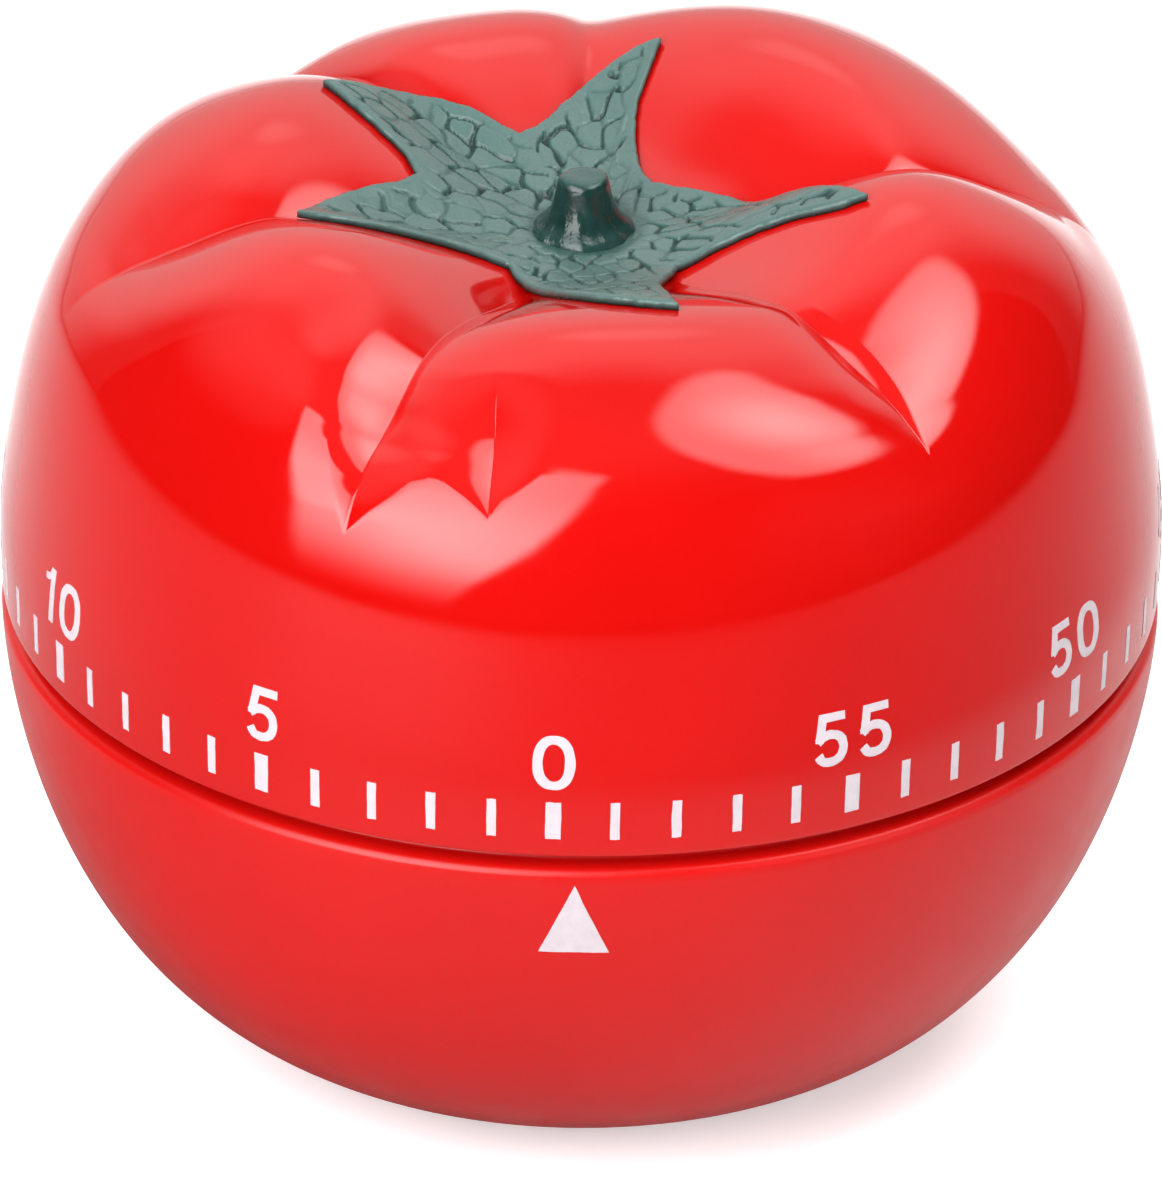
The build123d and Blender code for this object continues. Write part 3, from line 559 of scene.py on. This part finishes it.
def smooth_outline(points, sharp_at, step):
    n, out = len(points), []
    p = [np.array(q) for q in points]
    for i in range(n):
        a, b = p[i], p[(i + 1) % n]
        before = a - (b - a) if i in sharp_at else p[i - 1]
        after = b + (b - a) if (i + 1) % n in sharp_at else p[(i + 2) % n]
        m = max(2, int(np.linalg.norm(b - a) / step))
        for k in range(m):
            t = k / m
            out.append(0.5 * (2 * a + (b - before) * t + (2 * before - 5 * a + 4 * b - after) * t**2 + (3 * a - before - 3 * b + after) * t**3))
    return np.array(out)


def height_at(x, y, **k):
    """Height of the dome above plan points."""
    az, rho = np.degrees(np.arctan2(x, -y)), np.hypot(x, y)
    lo, hi = np.full(len(rho), 0.40), np.full(len(rho), 1.0)
    for _ in range(34):
        mid = (lo + hi) / 2
        q = top_point(az, mid, **k)
        far = np.hypot(q[:, 0], q[:, 1]) > rho
        lo, hi = np.where(far, mid, lo), np.where(far, hi, mid)
    return top_point(az, (lo + hi) / 2, **k)[:, 2]


def edge_distance(poly, pts):
    d = np.full(len(pts), 1e9)
    for a0, b0 in zip(poly, np.roll(poly, -1, 0)):
        ab = b0 - a0
        t = np.clip(((pts - a0) @ ab) / max(1e-12, ab @ ab), 0, 1)
        d = np.minimum(d, np.linalg.norm(pts - (a0 + t[:, None] * ab), axis=1))
    return d


edge = wobble(smooth_outline(CALYX, set(TIPS + CORNERS), 0.22), 0.055, 5)
cv, cf = filled([edge], grid=0.125)
d_edge = edge_distance(edge, cv)
red_z = height_at(cv[:, 0], cv[:, 1])
bridge = height_at(cv[:, 0], cv[:, 1], sharp=1.6, fill=0.72)
lift = np.logaddexp(red_z * 14, bridge * 14) / 14

# leaf coordinates: u along the leaf, v across
tips = np.array([CALYX[i] for i in TIPS])
axes = tips / np.linalg.norm(tips, axis=1, keepdims=True)
leaf = np.argmax(cv @ axes.T / np.maximum(1e-6, np.linalg.norm(cv, axis=1))[:, None], axis=1)
u = np.einsum("ij,ij->i", cv, axes[leaf])
v = cv[:, 0] * -axes[leaf][:, 1] + cv[:, 1] * axes[leaf][:, 0]
rng = np.random.default_rng(11)
cells = np.zeros(len(cv))
lump = np.zeros(len(cv))
LONG, WIDE = 2.1, 1.3
warp_u = 0.16 * np.sin(1.9 * cv[:, 0] + 1.3 * cv[:, 1] + 0.5) + 0.10 * np.sin(3.7 * cv[:, 1] - 2.1 * cv[:, 0] + 2.0)
warp_v = 0.10 * np.sin(2.3 * cv[:, 1] + 0.9 * cv[:, 0]) + 0.07 * np.sin(4.1 * cv[:, 0] + 1.7 * cv[:, 1] + 1.0)
for k in range(5):
    gu, gv = np.meshgrid(np.arange(-2, 10) * LONG, np.arange(-8, 9) * WIDE)
    gu = gu + (np.arange(gu.shape[0]) % 2)[:, None] * LONG / 2 + rng.uniform(-0.85, 0.85, gu.shape)
    gv = gv + rng.uniform(-0.50, 0.50, gv.shape)
    seed = np.stack([gu.ravel() / LONG, gv.ravel() / WIDE], -1)
    tall = rng.uniform(0.0, 1.0, len(seed))
    lot = rng.uniform(0.0, 6.28, len(seed))
    me = leaf == k
    q = np.stack([(u[me] + warp_u[me] - 0.30 * np.abs(v[me])) / LONG, (v[me] + warp_v[me]) / WIDE], -1)
    dist = np.linalg.norm(q[:, None, :] - seed[None, :, :], axis=2)
    order = np.argsort(dist, axis=1)[:, :2]
    near = np.take_along_axis(dist, order, 1)
    cut = 0.22 + 0.78 * smooth_step(np.sin(lot[order[:, 0]] + lot[order[:, 1]]) ** 2, 0.15, 0.75)      # some grooves are cut deep, some hardly show
    cells[me] = 1 - cut * (1 - smooth_step(near[:, 1] - near[:, 0], 0.0, 0.19)) - 0.08 * np.clip(near[:, 0], 0, 1) ** 2
    lump[me] = tall[order[:, 0]]
border = 1 - smooth_step(d_edge, 0.50, 0.95)
relief_and_shade = cells * (0.80 + 0.20 * lump) * (1 - border) + 0.84 * border
# the ribs on one leaf are raised, and through the tone they are also painted lightest: painted highlights along them
rib = sum(np.exp(-((v - c) / 0.15) ** 2) * smooth_step(u, a, a + 0.6) * (1 - smooth_step(u, b - 0.6, b)) for c, a, b in ((0.15, 5.6, 8.6), (-1.15, 4.2, 6.6), (0.5, 9.2, 11.2), (-0.35, 11.8, 13.6)))
relief_and_shade = np.clip(relief_and_shade, 0, 1) + 0.55 * rib * (leaf == 2)
centre = smooth_step(np.linalg.norm(cv, axis=1), 2.9, 4.2)
relief_and_shade = relief_and_shade * centre + 0.55 * (1 - centre)
roundness = np.sqrt(np.clip(1 - (1 - np.clip(d_edge / 0.40, 0, 1)) ** 2, 0, 1))
top_z = lift + 0.10 + 0.20 * roundness + 0.34 * relief_and_shade
low_z = np.maximum(red_z - 0.03, np.minimum(lift, top_z - 0.12))
cp, cfaces = slab(np.c_[cv, top_z], np.c_[cv, low_z], cf)
# painted light and shade: the colour tone is the relief, so grooves are darker and raised cells, border and ribs are
# lighter; the underside copy gets a dark 0.1, so the edge walls darken towards the red surface as painted shade
tone = np.concatenate([np.clip(relief_and_shade, 0, 1), np.full(len(cv), 0.1)])
wet = np.zeros(len(tone))
# stem, a short flared peg
stem_profile = [(0.0, 55.64), (0.55, 55.68), (1.00, 55.72), (1.26, 55.66), (1.44, 55.50), (1.55, 55.24), (1.62, 54.9), (1.70, 54.45), (1.82, 53.95), (1.98, 53.48), (2.18, 53.10),
                (2.42, 52.80), (2.68, 52.56), (2.92, 52.32), (3.05, 52.05), (3.05, 51.7)]
SC = 72
sp, sf = lathe(stem_profile, SC)
th = np.arctan2(sp[:, 1], sp[:, 0])
low = smooth_step(-sp[:, 2], -55.5, -52.6)
ribs = 1 + (0.030 * np.sin(4 * th + 0.6) + 0.022 * np.sin(7 * th + 2.0 + sp[:, 2] * 1.3) + 0.014 * np.sin(13 * th + sp[:, 2] * 2.1)) * (0.35 + 0.65 * low)
dent = 0.07 * np.sin(2 * th + 0.8) * np.clip(np.hypot(sp[:, 0], sp[:, 1]) / 1.3, 0, 1) * (sp[:, 2] > 55.4)
sp = np.c_[sp[:, 0] * ribs - 0.16, sp[:, 1] * ribs, sp[:, 2] + dent + 0.06 * np.sin(3 * th + 1.0) * low]
sf = [tuple(reversed(q)) for q in sf]
cfaces += [tuple(i + len(cp) for i in q) for q in sf]
# painted light: the stem's tone is lighter on its top face and a little lighter on its flared foot
tone = np.concatenate([tone, 0.06 + 0.42 * smooth_step(sp[:, 2], 55.45, 55.65) + 0.14 * smooth_step(-sp[:, 2], -53.0, -52.4)])
wet = np.concatenate([wet, 1.0 - 0.6 * smooth_step(sp[:, 2], 55.45, 55.65)])
cp = np.concatenate([cp, sp])
calyx = new_mesh("calyx_leaves", cp, cfaces)
# this attribute carries the painted light and shade of the leaves and the stem to the material
att = calyx.data.attributes.new("relief_and_shade", "FLOAT", "POINT")
att.data.foreach_set("value", tone.astype(np.float32))
att = calyx.data.attributes.new("wet", "FLOAT", "POINT")
att.data.foreach_set("value", wet.astype(np.float32))
paint(calyx, GREEN)
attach(calyx, "dial")
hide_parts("calyx")

# ---------------------------------------------------------------- printed scale and pointer
BOLD = 0.56


def curve(points, per=7):
    p = [np.array(q, float) for q in points]
    out = []
    for i in range(len(p) - 1):
        a, b = p[i], p[i + 1]
        before = p[i - 1] if i else 2 * a - b
        after = p[i + 2] if i + 2 < len(p) else 2 * b - a
        for k in range(per):
            t = k / per
            out.append(0.5 * (2 * a + (b - before) * t + (2 * before - 5 * a + 4 * b - after) * t**2 + (3 * a - before - 3 * b + after) * t**3))
    out.append(p[-1])
    return np.array(out)


def stroke(path, width=BOLD):
    """Outline of a pen stroke along a path, with square ends and mitred corners."""
    p = np.asarray(path, float)
    d = np.diff(p, axis=0)
    d /= np.linalg.norm(d, axis=1, keepdims=True)
    n = np.stack([-d[:, 1], d[:, 0]], -1)
    side = []
    for i in range(len(p)):
        a, b = n[max(0, i - 1)], n[min(len(n) - 1, i)]
        m = a + b
        m /= np.linalg.norm(m)
        side.append(m / max(0.5, float(m @ a)) * width / 2)
    side = np.array(side)
    return np.concatenate([p + side, (p - side)[::-1]])


def oval(cx, cy, a, b, e, n=56):
    t = np.arange(n) * 2 * np.pi / n
    c, sn = np.cos(t), np.sin(t)
    return np.stack([cx + a * np.sign(c) * np.abs(c) ** (2 / e), cy + b * np.sign(sn) * np.abs(sn) ** (2 / e)], -1)


def bar(x0, y0, x1, y1, n=6):
    c = [(x0, y0), (x1, y0), (x1, y1), (x0, y1)]
    out = []
    for p, q in zip(c, c[1:] + c[:1]):
        out += [(p[0] + (q[0] - p[0]) * k / n, p[1] + (q[1] - p[1]) * k / n) for k in range(n)]
    return np.array(out)


DIGITS = {
    "0": (2.60, [oval(1.30, 1.75, 1.27, 1.75, 2.35)], [oval(1.30, 1.75, 0.66, 1.21, 2.25, 44)]),
    "1": (1.65, [bar(0.90, 0.0, 1.47, 3.5), stroke(curve([(0.22, 2.72), (0.62, 2.80), (0.92, 3.00), (1.10, 3.42)]), 0.44)], []),
    "2": (2.35, [stroke(curve([(0.38, 2.36), (0.46, 2.80), (0.76, 3.10), (1.18, 3.18), (1.62, 3.08), (1.92, 2.78), (1.96, 2.40), (1.78, 2.00), (1.36, 1.58), (0.88, 1.16), (0.52, 0.74), (0.40, 0.22)])),
                 bar(0.06, 0.0, 2.30, 0.54)], []),
    "3": (2.35, [stroke(curve([(0.38, 2.58), (0.52, 2.95), (0.84, 3.14), (1.20, 3.18), (1.58, 3.07), (1.80, 2.80), (1.81, 2.45), (1.60, 2.12), (1.24, 1.97), (0.88, 1.96)])),
                 stroke(curve([(0.95, 1.92), (1.32, 1.89), (1.70, 1.74), (1.94, 1.42), (1.97, 1.02), (1.80, 0.62), (1.50, 0.40), (1.14, 0.33), (0.76, 0.40), (0.48, 0.64), (0.35, 1.02)]))], []),
    "4": (2.45, [bar(1.48, 0.0, 2.04, 3.5), bar(0.08, 0.80, 2.42, 1.28), stroke([(1.74, 3.30), (0.32, 1.10)], 0.54)], []),
    "5": (2.35, [stroke([(2.12, 3.22), (0.66, 3.22), (0.42, 1.66)], 0.53),
                 stroke(curve([(0.30, 1.72), (0.68, 2.02), (1.12, 2.12), (1.55, 2.02), (1.87, 1.70), (1.98, 1.20), (1.86, 0.72), (1.56, 0.42), (1.12, 0.32), (0.66, 0.42), (0.36, 0.82)]))], []),
}


def on_dome(s, h, az0, out):
    """Print coordinates (mm along the rim, mm up from the tick circle) to a point on the dome."""
    t = np.interp(h, PRINT_H, PRINT_T)
    return top_point(az0 + np.degrees(s / R), t, out=SKIN + out)


PRINT_T = np.linspace(0.0, 0.25, 200)
PRINT_H = (lambda q: np.r_[0, np.cumsum(np.hypot(*np.diff(q, axis=0).T))] * R)(crest(PRINT_T)[0])
PRINT_H = PRINT_H - np.interp(0.0, crest(PRINT_T)[0][:, 1], PRINT_H)


def join(parts):
    pts, faces = [], []
    for p, f in parts:
        b = sum(len(q) for q in pts)
        pts.append(p)
        faces += [tuple(i + b for i in q) for q in f]
    return np.concatenate(pts), faces


marks, numbers = [], []
for m in range(60):
    az0 = -6.0 * m + TICK_SHIFT
    half = 0.465 if m % 5 == 0 else 0.285
    tv, tf = filled([wobble(bar(-half, 0.0, half, 2.50, 8), 0.018, 100 + m)], grid=0.30)
    marks.append(slab(on_dome(tv[:, 0], tv[:, 1], az0, 0.035), on_dome(tv[:, 0], tv[:, 1], az0, -0.03), tf))
    if m % 5 == 0:
        word = str(m)
        width = sum(DIGITS[c][0] for c in word) + 0.60 * (len(word) - 1)
        x = -width / 2
        for i, c in enumerate(word):
            w, solid, hole = DIGITS[c]
            place = lambda q, sd: wobble(np.asarray(q) + np.array([x, 0.0]), 0.016, sd)
            gv, gf = filled([place(q, 7 * m + i + 3) for q in solid], [place(q, 7 * m + i + 5) for q in hole], grid=0.22)
            numbers.append(slab(on_dome(gv[:, 0], gv[:, 1] + 3.37, az0, 0.035), on_dome(gv[:, 0], gv[:, 1] + 3.37, az0, -0.03), gf))
            x += w + 0.60
for name, part in (("minute_marks", marks), ("minute_numbers", numbers)):
    o = new_mesh(name, *join(part), smooth=False)
    paint(o, WHITE)
    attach(o, "dial")

LOW_S = np.linspace(0.0, 0.6, 300)
LOW_RZ = np.stack(low_profile(LOW_S), -1)
LOW_D = np.r_[0, np.cumsum(np.hypot(*np.diff(LOW_RZ, axis=0).T))]


def on_base(s, d, az0, out):
    r, z = np.interp(d, LOW_D, LOW_RZ[:, 0]), np.interp(d, LOW_D, LOW_RZ[:, 1])
    a = np.radians(az0) + s / R
    return np.stack([(r + out) * np.sin(a), -(r + out) * np.cos(a), z], -1)


tri = []
corner = [(0.0, 1.05), (2.15, 6.0), (-2.15, 6.0)]
for p, q in zip(corner, corner[1:] + corner[:1]):
    tri += [(p[0] + (q[0] - p[0]) * k / 14, p[1] + (q[1] - p[1]) * k / 14) for k in range(14)]
pv, pf = filled([wobble(tri, 0.02, 77)], grid=0.35)
pf = pf[:, ::-1]
o = new_mesh("pointer_mark", *slab(on_base(pv[:, 0], pv[:, 1], -0.1, 0.035), on_base(pv[:, 0], pv[:, 1], -0.1, -0.03), pf), smooth=False)
paint(o, WHITE)
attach(o, "base")

# ---------------------------------------------------------------- floor, light, camera
class Sums:
    """Short forms for number nodes in one node tree."""

    def __init__(self, tree):
        self.t = tree

    def op(self, kind, a, b=0.0):
        n = self.t.nodes.new("ShaderNodeMath")
        n.operation = kind
        for i, v in enumerate((a, b)):
            if isinstance(v, (int, float)):
                n.inputs[i].default_value = v
            else:
                self.t.links.new(v, n.inputs[i])
        return n.outputs[0]

    def add(self, a, b):
        return self.op("ADD", a, b)

    def mul(self, a, b):
        return self.op("MULTIPLY", a, b)

    def far(self, x, y):
        return self.op("SQRT", self.add(self.mul(x, x), self.mul(y, y)))

    def step(self, v, a, b, lo, hi):
        n = self.t.nodes.new("ShaderNodeMapRange")
        n.interpolation_type = "SMOOTHSTEP"
        for k, x in zip(("From Min", "From Max", "To Min", "To Max"), (a, b, lo, hi)):
            n.inputs[k].default_value = x
        self.t.links.new(v, n.inputs["Value"])
        return n.outputs["Result"]

    def axes(self, vector):
        n = self.t.nodes.new("ShaderNodeSeparateXYZ")
        self.t.links.new(vector, n.inputs[0])
        return n.outputs


m, t, s = material("floor_paper_painted_reflections")
c = Sums(t)
pale = ramp(t, noise(t, 60.0, 3.0, 0.5), [(0.3, (0.90, 0.895, 0.90)), (0.7, (0.92, 0.915, 0.92))])
px, py, _ = c.axes(coords(t))
away = c.far(px, py)
round_about = c.mul(c.add(c.op("DIVIDE", py, c.add(away, 1e-4)), 1.0), 0.5)
behind = c.mul(round_about, c.mul(round_about, round_about))
glow_behind = c.mul(c.mul(behind, behind), c.mul(behind, behind))
# painted shade seen only in reflections: for rays other than camera and diffuse rays the floor is darker in front of
# the object and to its left and lighter behind it, fading far out
outer_reflected_shade = c.add(c.add(c.mul(round_about, 0.26), 0.09), c.mul(behind, 0.48))
near = c.step(away, 0.060, 0.110, 1.0, 0.0)
near_reflected_shade = c.add(c.add(c.mul(c.op("DIVIDE", px, c.add(away, 1e-4)), 0.18), 0.34), c.mul(behind, 0.45))
reflected_shade = c.add(c.mul(near, near_reflected_shade), c.mul(c.mul(c.op("SUBTRACT", 1.0, near), outer_reflected_shade), c.step(away, 0.30, 1.8, 1.0, 0.08)))
path = t.nodes.new("ShaderNodeLightPath").outputs
ray = path["Is Camera Ray"]
reflected_shade = c.add(reflected_shade, c.mul(path["Is Diffuse Ray"], c.op("SUBTRACT", 0.56, reflected_shade)))
seen = t.nodes.new("ShaderNodeMixRGB")
t.links.new(ray, seen.inputs["Fac"])
t.links.new(reflected_shade, seen.inputs["Color1"])
t.links.new(pale, seen.inputs["Color2"])
t.links.new(seen.outputs["Color"], s.inputs["Base Color"])
t.links.new(pale, s.inputs["Emission Color"])
# camera rays see an evenly bright floor; glossy rays see a painted glow behind the object, a painted reflection at the
# back rim
t.links.new(c.add(c.mul(ray, 0.44), c.mul(path["Is Glossy Ray"], c.mul(glow_behind, 0.30))), s.inputs["Emission Strength"])
t.links.new(spread(t, noise(t, 400.0, 2.0, 0.5), 0.55, 0.7), s.inputs["Roughness"])
ground = new_mesh("ground", np.array([(-4000, -4000, -0.02), (4000, -4000, -0.02), (4000, 4000, -0.02), (-4000, 4000, -0.02)]), [(0, 1, 2, 3)])
paint(ground, m)


def softbox(name, at, target, width, height, radiance, field, tint=(1.0, 1.0, 1.0)):
    """Soft light panel; field gives its brightness over metres across and up from its middle."""
    l = bpy.data.lights.new(name, "AREA")
    l.shape = "RECTANGLE"
    l.size, l.size_y = width, height
    l.energy = radiance * math.pi * width * height
    l.color = tint
    l.use_nodes = True
    t = l.node_tree
    em = next(n for n in t.nodes if n.type == "EMISSION")
    c = Sums(t)
    u, v, _ = c.axes(t.nodes.new("ShaderNodeNewGeometry").outputs["Parametric"])
    u, v = c.mul(c.op("SUBTRACT", u, 0.5), width), c.mul(c.op("SUBTRACT", v, 0.5), height)
    t.links.new(field(c, u, v), em.inputs["Strength"])
    o = bpy.data.objects.new(name, l)
    bpy.context.scene.collection.objects.link(o)
    o.location = at
    o.rotation_mode = "QUATERNION"
    o.rotation_quaternion = (Vector(target) - Vector(at)).to_track_quat("-Z", "Y")
    o.visible_camera = False
    return o


def toward(az, el, dist):
    a, e = math.radians(az), math.radians(el)
    return (dist * math.cos(e) * math.sin(a), -dist * math.cos(e) * math.cos(a), dist * math.sin(e) + Z_TICK * MM)


def panel(c, u, v):
    """Tall panel with a hot middle, soft at its bottom and rounded at its lower right."""
    right = c.op("MINIMUM", 0.39, c.add(0.42, c.mul(v, 0.50)))
    edges = c.mul(c.step(c.op("SUBTRACT", right, u), -0.025, 0.030, 0.0, 1.0), c.step(c.add(u, 0.355), -0.030, 0.040, 0.0, 1.0))
    ends = c.mul(c.step(v, -0.50, -0.16, 0.0, 1.0), c.step(v, 0.46, 0.54, 1.0, 0.0))
    hot = c.mul(c.step(c.op("ABSOLUTE", c.add(u, -0.03)), 0.05, 0.40, 1.0, 0.78), c.step(v, -0.05, 0.50, 1.0, 0.52))
    return c.mul(c.mul(edges, ends), hot)


def dish(c, u, v):
    """Oval light with a hot middle."""
    r = c.far(c.mul(c.add(u, 0.03), 1 / 0.35), c.mul(c.add(v, -0.08), 1 / 0.26))
    return c.mul(c.step(r, 0.86, 1.08, 1.0, 0.0), c.step(c.far(c.add(u, -0.03), c.add(v, -0.03)), 0.0, 0.30, 1.0, 0.42))


def wall(c, u, v):
    """White wall that fades at its sides and top, with a brighter place low in its middle."""
    sides = c.step(c.op("ABSOLUTE", u), 0.70, 1.70, 1.0, 0.10)
    ends = c.mul(c.step(v, -1.05, 2.60, 1.0, 0.12), c.step(v, -3.20, -2.05, 0.55, 1.0))
    glow = c.step(c.far(c.add(u, 0.10), c.add(v, 1.50)), 0.12, 0.50, 1.50, 1.0)
    return c.mul(c.mul(sides, ends), glow)


def haze(c, u, v):
    return c.step(c.far(u, v), 0.05, 0.48, 1.0, 0.0)


HEART = (0.0, 0.0, Z_TICK * MM)
softbox("front_left_panel", toward(-36.5, 32.5, 0.80), HEART, 0.86, 1.10, 8.8, panel, (0.985, 0.985, 1.0))
softbox("top_right_dish", toward(90.0, 59.0, 0.85), HEART, 0.80, 0.80, 7.7, dish, (1.0, 0.99, 0.975))
softbox("back_wall", (-0.05, 1.20, 3.00), (-0.05, 0.0, 3.00), 4.5, 6.0, 1.23, wall, (1.0, 0.985, 0.95))
softbox("left_haze", toward(-106.0, 50.0, 0.90), HEART, 1.0, 1.0, 0.5, haze)
fill = softbox("right_fill", toward(58.0, 22.0, 0.90), HEART, 1.0, 1.0, 5.0, haze)
fill.visible_glossy = False

w = bpy.data.worlds.new("studio")
bpy.context.scene.world = w
w.use_nodes = True
wt = w.node_tree
back = wt.nodes["Background"]
back.inputs["Color"].default_value = (1.0, 0.99, 0.985, 1.0)
c = Sums(wt)
_, _, height = c.axes(wt.nodes.new("ShaderNodeTexCoord").outputs["Generated"])
ray = wt.nodes.new("ShaderNodeLightPath").outputs["Is Camera Ray"]
dim = c.step(height, 0.70, 0.98, 0.03, 0.28)
wt.links.new(c.add(c.mul(ray, 1.0), c.mul(c.op("SUBTRACT", 1.0, ray), dim)), back.inputs["Strength"])

EL, ROLL, DIST, FOCAL = math.radians(28.498), math.radians(0.8608), 36.705 * R, 21220.2
fwd = Vector((0, math.cos(EL), -math.sin(EL)))
right = Vector((1, 0, 0))
up = right.cross(fwd)
r2 = math.cos(ROLL) * right + math.sin(ROLL) * up
u2 = -math.sin(ROLL) * right + math.cos(ROLL) * up
cam = bpy.data.cameras.new("photo_camera")
co = bpy.data.objects.new("photo_camera", cam)
bpy.context.scene.collection.objects.link(co)
mw = Matrix((r2, u2, -fwd)).transposed().to_4x4()
mw.translation = (Vector((0.002 * R, 0.0, -0.0827 * R + Z_TICK)) - fwd * DIST) * MM
co.matrix_world = mw
cam.sensor_fit = "AUTO"
cam.sensor_width = 36.0
cam.lens = FOCAL * 36.0 / 1200.0
cam.clip_start, cam.clip_end = 0.05, 50.0
bpy.context.scene.camera = co
bpy.context.scene.view_settings.view_transform = "Standard"
